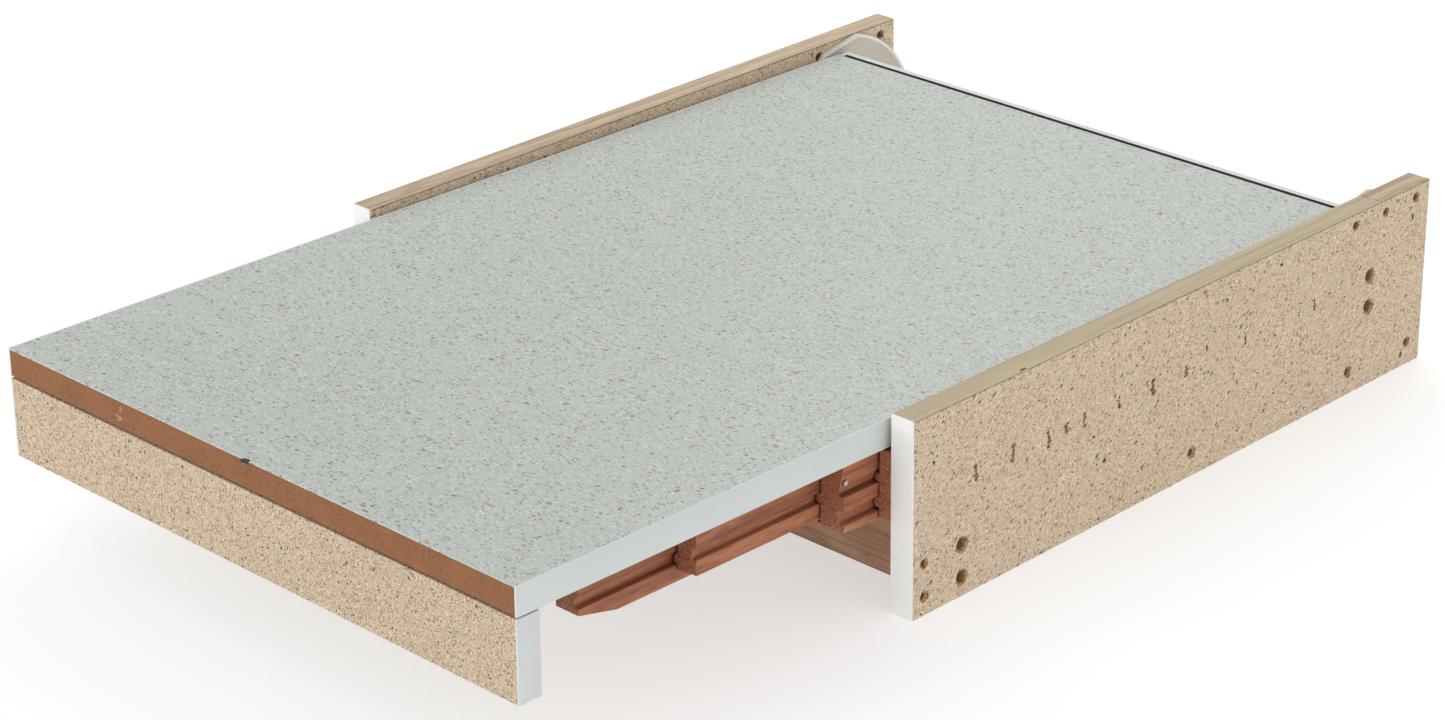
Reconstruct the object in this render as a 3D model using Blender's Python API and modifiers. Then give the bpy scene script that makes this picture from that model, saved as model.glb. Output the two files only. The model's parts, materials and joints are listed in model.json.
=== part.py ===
"""Pull-out table on three-stage wooden telescopic runners between two cabinet sides.

Metres, +Z up, +X to the right, the table pulls out towards -Y. The model is laid out
from the front edges and the bottom edges of the two side panels. The runners and the
table lie in a frame of their own that rises a little towards the front.
At the end everything is moved along Y so that the origin is under the middle.
"""
import math

import bmesh
import bpy
from mathutils import Matrix, Vector

MM = 0.001

# ---- Cabinet sides ---------------------------------------------------------------
INNER_WIDTH = 442 * MM          # clear width between the side panels
SIDE_DEPTH = 492 * MM
SIDE_HEIGHT = 124.5 * MM
SIDE_THICKNESS = 16 * MM
SYSTEM_PITCH = 32 * MM          # spacing of the cabinet maker's drilled rows
SYSTEM_HOLE = 5 * MM
UPPER_ROW_BELOW_TOP = 8.7 * MM
LOWER_ROW_HEIGHT = 15.6 * MM
ROW_FROM_REAR = 14 * MM         # rear hole of both rows, from the rear edge
UPPER_ROW_STEPS = (0, 1, 2)     # holes of the upper row, counted in pitches from the rear
LOWER_ROW_STEPS = (0, 2, 7)
FRONT_HOLE_INSET = 10.5 * MM
FRONT_HOLE = 4.5 * MM
TOP_EDGING = 0.8 * MM           # wood veneer on the sides' top edges
EDGING_JOINT = 52.5 * MM        # of the right side's two strips, from the rear edge

# ---- Cross rail ------------------------------------------------------------------
CROSS_SETBACK = 34 * MM
CROSS_THICKNESS = 18 * MM
CROSS_HEIGHT = 45 * MM
CROSS_SCREW_INSET = 12 * MM     # from the rail's top and bottom edges

# ---- Table -----------------------------------------------------------------------
SIDE_GAP = 4 * MM               # between the table's edge and a side panel
TABLE_OVERHANG = 278.5 * MM     # in front of the sides, in the modelled position
TABLE_LENGTH = 707.5 * MM
TABLE_THICKNESS = 18 * MM
LAMINATE = 0.8 * MM
BAND = 1 * MM                   # every edge band
TOP_HEIGHT = 120 * MM           # work surface above the floor, at the sides' front edges
RISE_DEGREES = 0.65             # of the runners, towards the front
SEAL_DEPTH = 3.5 * MM
STRIP_DEPTH = 4.5 * MM
SEAL_INSET = 5 * MM             # of the rear seal's ends, from the table's edges
STRIP_INSET = 2 * MM

# ---- Drawer-front panel ------------------------------------------------------------
FRONT_THICKNESS = 16 * MM
FRONT_HEIGHT = 50 * MM
FRONT_GAP = 1 * MM              # shadow gap under the table

# ---- Runners: along the slide ------------------------------------------------------
FIXED_FRONT = 1 * MM
RAIL_TO_PLATE = 11 * MM         # from the fixed rail's rear end to the guide plate
OUTER_FRONT = -27.7 * MM
MIDDLE_FRONT = -125.2 * MM
INNER_FRONT = -199 * MM

# ---- Runners: across, from the side panel inwards ----------------------------------
FIXED_BACK = 8.8 * MM           # wood behind the fixed rail's groove
FIXED_TONGUE = 4.1 * MM
OUTER_BODY = 13.7 * MM
OUTER_TONGUE = 3.4 * MM
MIDDLE_BODY = 14.8 * MM
MIDDLE_TONGUE = 3.2 * MM
INNER_FLANGE = 17.6 * MM
INNER_WEB_INSET = 2 * MM

# ---- Runners: depths below the table's underside -----------------------------------
RAIL_TOP = 2 * MM
RIDGE_TOP = 23 * MM             # the outer rail's ridge, in the fixed rail's groove
RIDGE_HEIGHT = 8.4 * MM
FIXED_LIP_HEIGHT = 4.5 * MM     # the fixed rail's upper tongue
FIXED_TONGUE_HEIGHT = 6.5 * MM  # and its lower tongue, under the ridge
TONGUE_ROOM = 2 * MM            # below that tongue
FIXED_BOTTOM_COVER = 6 * MM     # wood below that tongue
OUTER_TONGUE_TOP = 26 * MM
OUTER_TONGUE_HEIGHT = 5.8 * MM
MIDDLE_LIP_HEIGHT = 9.4 * MM    # the middle rail below its groove
MIDDLE_DIP = 1.8 * MM           # the middle rail is deeper on its inner side
OUTER_LIP = 2.5 * MM            # reach of the outer rail's lip under the middle rail
OUTER_LIP_HEIGHT = 3.2 * MM
OUTER_LIP_GAP = 1.8 * MM
OUTER_CHAMFER = 1.6 * MM        # of the outer rail's lower edge, towards the side panel
MIDDLE_TONGUE_SLOPE = 3.2 * MM
MIDDLE_TONGUE_HEIGHT = 4.2 * MM
FLANGE_TOP = 40 * MM
FLANGE_HEIGHT = 10.3 * MM

# ---- Lead-in bevels under the rails' front ends: (height, length) ------------------
INNER_LEAD = (6.7 * MM, 29 * MM)
MIDDLE_LEAD = (1 * MM, 26 * MM)
OUTER_LEAD = (2.2 * MM, 28 * MM)

# ---- Guide plates at the rear ------------------------------------------------------
PLATE_THICKNESS = 3 * MM
PLATE_RADIUS = 76.7 * MM
PLATE_FROM_REAR = 60 * MM       # centre of the arc, from the side panel's rear edge
PLATE_CENTRE_HEIGHT = 50 * MM
PLATE_REACH = 20 * MM           # in front of the arc's centre
PLATE_BOTTOM = 42 * MM
PLATE_FRONT_TOP = 114 * MM
PLATE_CORNER = 4 * MM           # cut off the front top corner, both ways
PLATE_ARC_START = 76            # degrees above the arc's horizontal
PLATE_ARC_STEPS = 22
PLATE_SCREW_HEIGHTS = (55.5 * MM, 76.5 * MM)

# ---- Fasteners ---------------------------------------------------------------------
FIXED_SCREW_FRONT = 54 * MM     # first screw, from the fixed rail's front end
FIXED_SCREW_REAR = 26 * MM      # last screw, from its rear end
FIXED_SCREW_COUNT = 3
WOOD_SCREW = dict(shank=3.5 * MM, head=7 * MM, length=18 * MM, point=4 * MM, end=0)
CROSS_SCREW = dict(shank=4.5 * MM, head=7 * MM, length=38 * MM, point=5 * MM, end=0)
CROSS_PILOT = 33 * MM           # depth of its hole in the rail
PLATE_SCREW = dict(shank=4.5 * MM, head=7 * MM, length=10.8 * MM, point=0.5 * MM, end=3.6 * MM)
INNER_SCREW = dict(shank=4 * MM, head=7 * MM, length=40 * MM, point=4.5 * MM, end=0)
BRACKET_SCREW = dict(shank=3.5 * MM, head=6.5 * MM, length=13 * MM, point=4 * MM, end=0)
SIDE_COUNTERBORE = 8 * MM       # diameter of the holes over the sunk heads in the sides
SIDE_COUNTERBORE_DEPTH = 8 * MM
INNER_COUNTERBORE = 8 * MM
INNER_HEAD_DEPTH = 29 * MM      # of the inner rail's screw heads, below the table
INNER_SCREW_START = 50 * MM     # from the rail's front end
INNER_SCREW_COUNT = 3
PIN_DIAMETER = 3 * MM
PIN_LENGTH = 9 * MM
PIN_PROUD = 1.4 * MM
PIN_INSET = 3 * MM              # from the outer rail's front end
PIN_DEPTH = 15 * MM             # below the table's underside
BRACKET_LEG = 28 * MM
BRACKET_STEEL = 2 * MM
BRACKET_WIDTH = 30 * MM
BRACKET_SPREAD = 120 * MM       # from the middle of the table
BRACKET_SCREW_OUT = 17.4 * MM   # of each screw from the bracket's corner
BRACKET_HEAD_PROUD = 2 * MM

# ---- Clearances ----------------------------------------------------------------------
TOUCH = 0.3 * MM                # between pieces that rest on each other
RUN = 0.6 * MM                  # between runner stages
SCREW_FIT = 0.25 * MM           # round a screw, on the radius
HEAD_RIM = 0.5 * MM             # straight edge of a countersunk head
SCREW_SIDES = 14
HOLE_SIDES = 20
PIN_SIDES = 16
MERGE = 0.001 * MM              # vertices closer than this are one
OVERCUT = 1 * MM                # a cutter reaches this far out of the wood
LEAD_CUTTER_WIDTH = 60 * MM
SHARP_DEGREES = 40              # edges sharper than this are shaded as edges

# ---- Derived -------------------------------------------------------------------------
HALF_INNER = INNER_WIDTH / 2
HALF_TABLE = HALF_INNER - SIDE_GAP
HALF_CORE = HALF_TABLE - BAND - TOUCH
TABLE_REAR = TABLE_LENGTH - TABLE_OVERHANG
FIXED_OUT = HALF_INNER - TOUCH
FIXED_GROOVE = FIXED_OUT - FIXED_BACK
FIXED_TIP = FIXED_GROOVE - FIXED_TONGUE
OUTER_TIP = FIXED_GROOVE - RUN
OUTER_FACE = FIXED_TIP - RUN
OUTER_IN = OUTER_FACE - OUTER_BODY
OUTER_TONGUE_TIP = OUTER_IN - OUTER_TONGUE
MIDDLE_OUT = OUTER_IN - RUN
MIDDLE_GROOVE = OUTER_TONGUE_TIP - RUN
MIDDLE_IN = MIDDLE_OUT - MIDDLE_BODY
MIDDLE_TIP = MIDDLE_IN - MIDDLE_TONGUE
INNER_OUT = MIDDLE_IN - RUN
INNER_RECESS = MIDDLE_TIP - RUN
INNER_IN = INNER_OUT - INNER_FLANGE
INNER_WEB_IN = INNER_IN + INNER_WEB_INSET
RIDGE_BOTTOM = RIDGE_TOP + RIDGE_HEIGHT
FIXED_TONGUE_BOTTOM = RIDGE_BOTTOM + RUN + FIXED_TONGUE_HEIGHT
RECESS_BOTTOM = FIXED_TONGUE_BOTTOM + TONGUE_ROOM
OUTER_TONGUE_BOTTOM = OUTER_TONGUE_TOP + OUTER_TONGUE_HEIGHT
MIDDLE_BOTTOM = OUTER_TONGUE_BOTTOM + RUN + MIDDLE_LIP_HEIGHT
OUTER_BOTTOM = MIDDLE_BOTTOM + OUTER_LIP_GAP + OUTER_LIP_HEIGHT
PLATE_CENTRE_Y = SIDE_DEPTH - PLATE_FROM_REAR
PLATE_FRONT = PLATE_CENTRE_Y - PLATE_REACH
RAIL_LENGTH = PLATE_FRONT - RAIL_TO_PLATE - FIXED_FRONT
FIXED_SCREW_STEP = (RAIL_LENGTH - FIXED_SCREW_FRONT - FIXED_SCREW_REAR) / (FIXED_SCREW_COUNT - 1)
SIDES = (("left", -1), ("right", 1))

WOOD_RED = ("runner_wood", (0.42, 0.17, 0.085), 0.62, 0.0)
CHIPBOARD = ("particleboard", (0.62, 0.49, 0.31), 0.85, 0.0)
VENEER = ("veneer_edging", (0.56, 0.43, 0.28), 0.6, 0.0)
CROSS_WOOD = ("cross_rail_wood", (0.38, 0.25, 0.16), 0.7, 0.0)
FIBREBOARD = ("fibreboard", (0.36, 0.19, 0.10), 0.8, 0.0)
LAMINATE_GREY = ("speckled_laminate", (0.52, 0.56, 0.52), 0.4, 0.0)
BACKING = ("laminate_backing", (0.60, 0.58, 0.54), 0.6, 0.0)
BAND_WHITE = ("edge_band", (0.74, 0.77, 0.75), 0.45, 0.0)
TRIM_WHITE = ("white_trim", (0.70, 0.73, 0.72), 0.4, 0.0)
PLASTIC_WHITE = ("white_plastic", (0.66, 0.62, 0.55), 0.4, 0.0)
RUBBER_BLACK = ("black_seal", (0.03, 0.024, 0.02), 0.6, 0.0)
STEEL = ("zinc_steel", (0.62, 0.62, 0.60), 0.35, 1.0)


def clear_scene():
    for obj in list(bpy.data.objects):
        bpy.data.objects.remove(obj, do_unlink=True)


def new_collection(name):
    collection = bpy.data.collections.new(name)
    bpy.context.scene.collection.children.link(collection)
    return collection


clear_scene()
PARTS = new_collection("pull_out_table")
CUTTERS = new_collection("cutters")


def material(spec):
    name, colour, roughness, metallic = spec
    found = bpy.data.materials.get(name)
    if found:
        return found
    made = bpy.data.materials.new(name)
    made.use_nodes = True
    shader = made.node_tree.nodes["Principled BSDF"]
    shader.inputs["Base Color"].default_value = (*colour, 1.0)
    shader.inputs["Roughness"].default_value = roughness
    shader.inputs["Metallic"].default_value = metallic
    made.diffuse_color = (*colour, 1.0)
    return made


def empty(name, parent=None, location=(0, 0, 0), rotation=(0, 0, 0)):
    obj = bpy.data.objects.new(name, None)
    obj.empty_display_size = 0.05
    obj.location = location
    obj.rotation_euler = rotation
    obj.parent = parent
    PARTS.objects.link(obj)
    return obj


def place(mesh, name, spec, parent, location=(0, 0, 0)):
    obj = bpy.data.objects.new(name, mesh)
    obj.data.materials.append(material(spec))
    obj.location = location
    obj.parent = parent
    PARTS.objects.link(obj)
    return obj


def box(name, low, high, spec, parent):
    """A board between two corners; its origin is at its middle."""
    low, high = Vector(low), Vector(high)
    mesh = bpy.data.meshes.new(name)
    bm = bmesh.new()
    bmesh.ops.create_cube(bm, size=1.0)
    bmesh.ops.scale(bm, vec=high - low, verts=bm.verts)
    bm.to_mesh(mesh)
    bm.free()
    return place(mesh, name, spec, parent, (low + high) / 2)


def outline_mesh(name, points, length):
    """A closed outline in local X and Z, extruded along local Y about the origin."""
    curve = bpy.data.curves.new(name, "CURVE")
    curve.dimensions = "2D"
    curve.fill_mode = "BOTH"
    curve.extrude = length / 2
    spline = curve.splines.new("POLY")
    spline.points.add(len(points) - 1)
    for point, (x, z) in zip(spline.points, points):
        point.co = (x, z, 0, 1)
    spline.use_cyclic_u = True
    holder = bpy.data.objects.new(name, curve)
    PARTS.objects.link(holder)
    bpy.context.view_layer.update()
    evaluated = holder.evaluated_get(bpy.context.evaluated_depsgraph_get())
    mesh = bpy.data.meshes.new_from_object(evaluated)
    bpy.data.objects.remove(holder, do_unlink=True)
    bpy.data.curves.remove(curve)
    bm = bmesh.new()
    bm.from_mesh(mesh)
    bmesh.ops.remove_doubles(bm, verts=bm.verts, dist=MERGE)
    bmesh.ops.rotate(bm, cent=(0, 0, 0), matrix=Matrix.Rotation(math.pi / 2, 3, "X"), verts=bm.verts)
    bmesh.ops.recalc_face_normals(bm, faces=bm.faces)
    bm.to_mesh(mesh)
    bm.free()
    mesh.name = name
    return mesh


def bar(name, points, start, length, spec, parent):
    """A rail of constant section that starts at `start` along its parent's Y."""
    return place(outline_mesh(name, points, length), name, spec, parent, (0, start + length / 2, 0))


def section(side, points):
    """Points given as (distance from the middle, depth below the table) on one side."""
    return [(side * x, -TABLE_THICKNESS - depth) for x, depth in points]


def direction_matrix(direction):
    """Turns local -Z, the way a screw points, into the given direction."""
    return Vector((0, 0, -1)).rotation_difference(Vector(direction)).to_matrix().to_4x4()


def turned(name, profile, top, direction, parent, steps):
    """A solid of revolution: (radius, height) from the middle of its top down to its tip."""
    mesh = bpy.data.meshes.new(name)
    mesh.from_pydata([(x, 0, z) for x, z in profile], [(i, i + 1) for i in range(len(profile) - 1)], [])
    obj = bpy.data.objects.new(name, mesh)
    obj.location = top
    obj.rotation_euler = direction_matrix(direction).to_euler()
    obj.parent = parent
    turn = obj.modifiers.new("turned", "SCREW")
    turn.steps = steps
    turn.render_steps = steps
    turn.use_merge_vertices = True
    turn.merge_threshold = MERGE
    turn.use_smooth_shade = True
    return obj


def screw(name, head_centre, direction, size, parent):
    """A countersunk screw: head_centre is the middle of the head's top."""
    head, shank, length = size["head"] / 2, size["shank"] / 2, size["length"]
    cone = head - shank
    profile = [(0, 0), (head, 0), (head, -HEAD_RIM), (shank, -HEAD_RIM - cone),
               (shank, size["point"] - length)]
    if size["end"]:
        profile.append((size["end"] / 2, -length))
    profile.append((0, -length))
    obj = turned(name, profile, head_centre, direction, parent, SCREW_SIDES)
    obj.data.materials.append(material(STEEL))
    PARTS.objects.link(obj)
    return obj


def cylinder(name, centre, direction, diameter, length, parent, segments):
    """A round bar that starts at `centre` and runs along `direction`."""
    mesh = bpy.data.meshes.new(name)
    bm = bmesh.new()
    bmesh.ops.create_cone(bm, cap_ends=True, segments=segments, radius1=diameter / 2,
                          radius2=diameter / 2, depth=length)
    bmesh.ops.translate(bm, vec=(0, 0, -length / 2), verts=bm.verts)
    bm.to_mesh(mesh)
    bm.free()
    obj = bpy.data.objects.new(name, mesh)
    obj.location = centre
    obj.rotation_euler = direction_matrix(direction).to_euler()
    obj.parent = parent
    return obj


def cut(target, cutter):
    """Takes the cutter away from the target with an exact Boolean."""
    if cutter.name not in CUTTERS.objects:
        CUTTERS.objects.link(cutter)
    cutter.hide_render = True
    cutter.display_type = "WIRE"
    modifier = target.modifiers.new("cut_" + cutter.name[:50], "BOOLEAN")
    modifier.operation = "DIFFERENCE"
    modifier.object = cutter


def drill(target, name, start, direction, diameter, length, parent):
    cut(target, cylinder(name, start, direction, diameter, length, parent, HOLE_SIDES))


def screw_hole(target, name, head_centre, direction, size, mouth, mouth_depth, parent):
    """A mouth, a countersink and a bore in one cut, round a screw whose head lies sunk."""
    shank = size["shank"] / 2 + SCREW_FIT
    head = max(mouth, size["head"] / 2 + SCREW_FIT)
    rim = HEAD_RIM + SCREW_FIT
    profile = [(0, mouth_depth), (head, mouth_depth), (head, -rim), (shank, -rim - (head - shank)),
               (shank, -size["length"] - SCREW_FIT), (0, -size["length"] - SCREW_FIT)]
    cut(target, turned(name, profile, head_centre, direction, parent, HOLE_SIDES))


def lead_in(target, name, side_x, bottom, lead, front, parent):
    """Bevels the underside of a rail's front end."""
    rise, run = lead
    low = -TABLE_THICKNESS - bottom
    margin = 2 * OVERCUT
    slope = rise / run
    points = [(-margin, low + rise + margin * slope), (run + margin, low - margin * slope),
              (run + margin, low - 3 * margin), (-margin, low - 3 * margin)]
    mesh = outline_mesh(name, points, LEAD_CUTTER_WIDTH)
    mesh.transform(Matrix.Rotation(math.pi / 2, 4, "Z"))
    obj = bpy.data.objects.new(name, mesh)
    obj.parent = parent
    obj.location = (side_x, front, 0)
    cut(target, obj)


# ---- Frames: empties that carry the bodies ---------------------------------------------
origin = empty("assembly_origin")
cabinet = empty("cabinet_frame", origin)
RISE = math.radians(RISE_DEGREES)
run = empty("runner_frame", cabinet, (0, 0, TOP_HEIGHT), (-RISE, 0, 0))
table = empty("table_slide_frame", run, (0, -TABLE_OVERHANG, 0))
table.matrix_parent_inverse = Matrix.Translation((0, TABLE_OVERHANG, 0))


def on_frame(obj, frame):
    """Keeps a piece laid out in the runner frame while it hangs on a rail's own empty."""
    obj.location = Vector(obj.location) - frame.location
    return obj


# ---- Cabinet ---------------------------------------------------------------------------
def side_holes(name, sign, panel):
    """System rows, the front pair, and the counterbores over the sunk screws."""
    outer = sign * (HALF_INNER + SIDE_THICKNESS + OVERCUT)
    inward = (-sign, 0, 0)
    through = SIDE_THICKNESS + 2 * OVERCUT
    last = SIDE_DEPTH - ROW_FROM_REAR
    rows = [(step, SIDE_HEIGHT - UPPER_ROW_BELOW_TOP) for step in UPPER_ROW_STEPS]
    rows += [(step, LOWER_ROW_HEIGHT) for step in LOWER_ROW_STEPS]
    for index, (step, height) in enumerate(rows):
        start = (outer, last - step * SYSTEM_PITCH, height)
        drill(panel, f"system_hole_{name}_{index}", start, inward, SYSTEM_HOLE, through, cabinet)
    for index, height in enumerate(cross_screw_heights()):
        start = (outer, FRONT_HOLE_INSET, height)
        drill(panel, f"front_hole_{name}_{index}", start, inward, FRONT_HOLE, through, cabinet)


def cross_screw_heights():
    return (CROSS_SCREW_INSET, CROSS_HEIGHT - CROSS_SCREW_INSET)


def side_panels():
    panels = {}
    for name, sign in SIDES:
        near, far = sign * HALF_INNER, sign * (HALF_INNER + SIDE_THICKNESS)
        low_x, high_x = min(near, far), max(near, far)
        wood_top = SIDE_HEIGHT - TOP_EDGING - TOUCH
        panel = box(f"side_panel_{name}", (low_x, BAND + TOUCH, 0), (high_x, SIDE_DEPTH, wood_top),
                    CHIPBOARD, cabinet)
        box(f"side_edge_band_{name}", (low_x, 0, 0), (high_x, BAND, SIDE_HEIGHT), BAND_WHITE, cabinet)
        side_holes(name, sign, panel)
        panels[name] = panel
    top_edging()
    return panels


def top_edging():
    """Veneer on the sides' top edges: one strip on the left, two that meet on the right."""
    low_z = SIDE_HEIGHT - TOP_EDGING
    start = BAND + TOUCH
    joint = SIDE_DEPTH - EDGING_JOINT
    far = HALF_INNER + SIDE_THICKNESS
    box("top_edging_left", (-far, start, low_z), (-HALF_INNER, SIDE_DEPTH, SIDE_HEIGHT), VENEER, cabinet)
    box("top_edging_right_front", (HALF_INNER, start, low_z), (far, joint - TOUCH / 2, SIDE_HEIGHT),
        VENEER, cabinet)
    box("top_edging_right_rear", (HALF_INNER, joint + TOUCH / 2, low_z), (far, SIDE_DEPTH, SIDE_HEIGHT),
        VENEER, cabinet)


def cross_rail(panels):
    reach = HALF_INNER - TOUCH
    rail = box("cross_rail", (-reach, CROSS_SETBACK, 0),
               (reach, CROSS_SETBACK + CROSS_THICKNESS, CROSS_HEIGHT), CROSS_WOOD, cabinet)
    head_x = HALF_INNER + SIDE_THICKNESS - SIDE_COUNTERBORE_DEPTH
    for name, sign in SIDES:
        for index, height in enumerate(cross_screw_heights()):
            centre = (sign * head_x, CROSS_SETBACK + CROSS_THICKNESS / 2, height)
            inward = (-sign, 0, 0)
            label = f"cross_rail_screw_{name}_{index + 1}"
            screw(label, centre, inward, CROSS_SCREW, cabinet)
            sunk_hole(panels[name], label, centre, inward, CROSS_SCREW)
            drill(rail, label + "_pilot", (sign * (reach + OVERCUT), centre[1], centre[2]), inward,
                  CROSS_SCREW["shank"] + 2 * SCREW_FIT, CROSS_PILOT + OVERCUT, cabinet)


def sunk_hole(panel, label, centre, inward, size):
    """A counterbored hole from the outside of a side panel."""
    screw_hole(panel, label + "_hole", centre, inward, size, SIDE_COUNTERBORE / 2,
               SIDE_COUNTERBORE_DEPTH + OVERCUT, cabinet)


def guide_plates(panels):
    """Rounded plates that steer the table between the sides and reach past the rear."""
    outline = [(PLATE_FRONT, PLATE_BOTTOM), (PLATE_FRONT, PLATE_FRONT_TOP),
               (PLATE_FRONT + PLATE_CORNER, PLATE_FRONT_TOP + PLATE_CORNER)]
    for step in range(PLATE_ARC_STEPS + 1):
        angle = math.radians(PLATE_ARC_START * (1 - step / PLATE_ARC_STEPS))
        outline.append((PLATE_CENTRE_Y + PLATE_RADIUS * math.cos(angle),
                        PLATE_CENTRE_HEIGHT + PLATE_RADIUS * math.sin(angle)))
    outline.append((PLATE_CENTRE_Y + PLATE_RADIUS, PLATE_BOTTOM))
    for name, sign in SIDES:
        mesh = outline_mesh(f"guide_plate_{name}", outline, PLATE_THICKNESS)
        mesh.transform(Matrix.Rotation(math.pi / 2, 4, "Z"))
        x = sign * (HALF_INNER - TOUCH - PLATE_THICKNESS / 2)
        plate = place(mesh, f"guide_plate_{name}", PLASTIC_WHITE, cabinet, (x, 0, 0))
        for index, height in enumerate(PLATE_SCREW_HEIGHTS):
            centre = (sign * (HALF_INNER + SIDE_THICKNESS - SIDE_COUNTERBORE_DEPTH), PLATE_CENTRE_Y, height)
            inward = (-sign, 0, 0)
            label = f"guide_plate_screw_{name}_{index + 1}"
            screw(label, centre, inward, PLATE_SCREW, cabinet)
            sunk_hole(panels[name], label, centre, inward, PLATE_SCREW)
            drill(plate, label + "_thread", (sign * (HALF_INNER + OVERCUT), centre[1], height), inward,
                  PLATE_SCREW["shank"] + 2 * SCREW_FIT, PLATE_THICKNESS + 2 * OVERCUT, cabinet)


# ---- Runners ---------------------------------------------------------------------------
def fixed_rails(panels):
    """Screwed to the sides; a groove carries the outer rail's ridge."""
    lip_top = RIDGE_TOP - RUN - FIXED_LIP_HEIGHT
    slant = (OUTER_TIP - OUTER_FACE) / (RIDGE_TOP - RAIL_TOP)
    lip_high_x = OUTER_TIP - slant * (lip_top - RAIL_TOP) + RUN
    lip_low_x = OUTER_TIP - slant * (RIDGE_TOP - RUN - RAIL_TOP) + RUN
    for name, sign in SIDES:
        rail = bar(f"fixed_rail_{name}", section(sign, [
            (FIXED_OUT, RAIL_TOP), (FIXED_GROOVE, RAIL_TOP), (FIXED_GROOVE, lip_top),
            (lip_high_x, lip_top), (lip_low_x, RIDGE_TOP - RUN), (FIXED_GROOVE, RIDGE_TOP - RUN),
            (FIXED_GROOVE, RIDGE_BOTTOM + RUN), (FIXED_TIP, RIDGE_BOTTOM + RUN),
            (FIXED_TIP, FIXED_TONGUE_BOTTOM), (FIXED_GROOVE, FIXED_TONGUE_BOTTOM),
            (FIXED_GROOVE, FIXED_TONGUE_BOTTOM + FIXED_BOTTOM_COVER),
            (FIXED_OUT, FIXED_TONGUE_BOTTOM + FIXED_BOTTOM_COVER)]),
            FIXED_FRONT, RAIL_LENGTH, WOOD_RED, run)
        depth = RIDGE_TOP + RIDGE_HEIGHT / 2
        for index in range(FIXED_SCREW_COUNT):
            s = FIXED_FRONT + FIXED_SCREW_FRONT + index * FIXED_SCREW_STEP
            centre = (sign * (FIXED_GROOVE + TOUCH), s, -TABLE_THICKNESS - depth)
            outward = (sign, 0, 0)
            label = f"fixed_rail_screw_{name}_{index + 1}"
            screw(label, centre, outward, WOOD_SCREW, run)
            screw_hole(rail, label + "_hole", centre, outward, WOOD_SCREW, 0, OVERCUT, run)
            drill(panels[name], label + "_pilot", (sign * (HALF_INNER - OVERCUT), s, centre[2]), outward,
                  WOOD_SCREW["shank"] + 2 * SCREW_FIT, WOOD_SCREW["length"] - FIXED_BACK + 2 * OVERCUT, run)


def outer_rails():
    for name, sign in SIDES:
        frame = empty(f"outer_{name}_slide_frame", run, (sign * OUTER_FACE, OUTER_FRONT, 0))
        rail = bar(f"outer_rail_{name}", section(sign, [
            (OUTER_IN, RAIL_TOP), (OUTER_TIP, RAIL_TOP), (OUTER_FACE, RIDGE_TOP), (OUTER_TIP, RIDGE_TOP),
            (OUTER_TIP, RIDGE_BOTTOM), (OUTER_FACE, RIDGE_BOTTOM), (OUTER_FACE, RECESS_BOTTOM),
            (OUTER_TIP, RECESS_BOTTOM), (OUTER_TIP, OUTER_BOTTOM - OUTER_CHAMFER),
            (OUTER_TIP - OUTER_CHAMFER, OUTER_BOTTOM),
            (OUTER_IN - OUTER_LIP, OUTER_BOTTOM), (OUTER_IN - OUTER_LIP, OUTER_BOTTOM - OUTER_LIP_HEIGHT),
            (OUTER_IN, OUTER_BOTTOM - OUTER_LIP_HEIGHT), (OUTER_IN, OUTER_TONGUE_BOTTOM),
            (OUTER_TONGUE_TIP, OUTER_TONGUE_BOTTOM), (OUTER_TONGUE_TIP, OUTER_TONGUE_TOP),
            (OUTER_IN, OUTER_TONGUE_TOP)]),
            OUTER_FRONT, RAIL_LENGTH, WOOD_RED, frame)
        on_frame(rail, frame)
        lead_in(rail, f"outer_lead_{name}", sign * OUTER_FACE, OUTER_BOTTOM, OUTER_LEAD, OUTER_FRONT, run)
        slant = (OUTER_TIP - OUTER_FACE) / (RIDGE_TOP - RAIL_TOP)
        face_x = OUTER_TIP - slant * (PIN_DEPTH - RAIL_TOP)
        top = (sign * (face_x + PIN_PROUD), OUTER_FRONT + PIN_INSET, -TABLE_THICKNESS - PIN_DEPTH)
        pin = cylinder(f"stop_pin_{name}", top, (-sign, 0, 0), PIN_DIAMETER, PIN_LENGTH, frame, PIN_SIDES)
        pin.data.materials.append(material(STEEL))
        pin.data.shade_smooth()
        pin.data.set_sharp_from_angle(angle=math.radians(SHARP_DEGREES))
        PARTS.objects.link(pin)
        on_frame(pin, frame)
        drill(rail, f"stop_pin_hole_{name}", top, (-sign, 0, 0), PIN_DIAMETER + 2 * SCREW_FIT,
              PIN_LENGTH + SCREW_FIT, run)


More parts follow.
